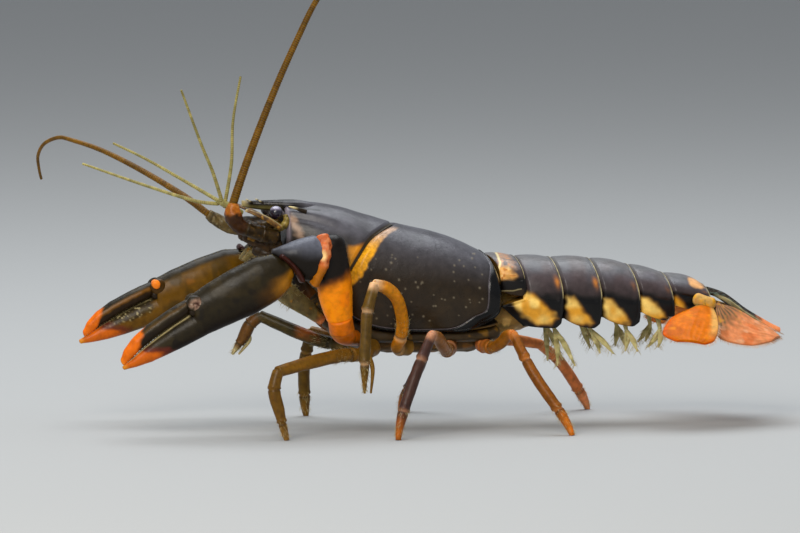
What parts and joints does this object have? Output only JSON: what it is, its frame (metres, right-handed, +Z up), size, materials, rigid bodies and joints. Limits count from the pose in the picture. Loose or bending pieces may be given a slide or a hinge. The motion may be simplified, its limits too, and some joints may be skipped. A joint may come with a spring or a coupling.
{
  "type": "cherax crayfish",
  "caption": "Life-size still model of a freshwater crayfish in a walking pose, with raised claws and feelers",
  "frame": {"origin": "on the floor, below the middle of the model's bounding box", "axes": "+Z up, -X towards the head, -Y towards the animal's left side, which faces the camera"},
  "size_m": [0.1301, 0.0686, 0.0978],
  "materials": {
    "shell": "satin",
    "shell_brown": "satin",
    "claw_shell": "satin",
    "orange_joint": "satin",
    "leg_shell": "satin",
    "feeler": "satin",
    "soft_olive": "matte",
    "eye": "gloss",
    "tail_fan": "satin"
  },
  "bodies": {
    "root": {"abdomen_1": "shell", "abdomen_2": "shell", "abdomen_3": "shell", "abdomen_4": "shell", "abdomen_5": "shell", "abdomen_6": "shell", "antenna_base_left": "feeler", "antenna_base_right": "feeler", "antenna_left_1": "feeler", "antenna_left_2": "feeler", "antenna_right_1": "feeler", "antenna_right_2": "feeler", "antennal_scale_left": "shell_brown", "antennal_scale_right": "shell_brown", "antennule_left": "feeler", "antennule_right": "feeler", "carapace_head": "shell", "carapace_thorax": "shell", "claw_carpus_left": "claw_shell", "claw_carpus_right": "claw_shell", "claw_dactyl_left": "claw_shell", "claw_dactyl_right": "claw_shell", "claw_ischium_left": "orange_joint", "claw_ischium_right": "orange_joint", "claw_merus_left": "orange_joint", "claw_merus_right": "orange_joint", "claw_palm_left": "claw_shell", "claw_palm_right": "claw_shell", "endopod_left": "tail_fan", "endopod_right": "tail_fan", "exopod_left": "tail_fan", "exopod_right": "tail_fan", "eye_left": "eye", "eye_right": "eye", "face": "shell_brown", "leg2_lower_left": "leg_shell", "leg2_lower_right": "leg_shell", "leg2_upper_left": "leg_shell", "leg2_upper_right": "leg_shell", "leg3_lower_left": "leg_shell", "leg3_lower_right": "leg_shell", "leg3_upper_left": "leg_shell", "leg3_upper_right": "leg_shell", "leg4_lower_left": "leg_shell", "leg4_lower_right": "leg_shell", "leg4_upper_left": "leg_shell", "leg4_upper_right": "leg_shell", "leg5_lower_left": "leg_shell", "leg5_lower_right": "leg_shell", "leg5_upper_left": "leg_shell", "leg5_upper_right": "leg_shell", "maxilliped_left": "shell_brown", "maxilliped_right": "shell_brown", "swimmerets_2": "soft_olive", "swimmerets_3": "soft_olive", "swimmerets_4": "soft_olive", "swimmerets_5": "soft_olive", "telson": "shell", "underside": "soft_olive"}
  },
  "joints": []
}
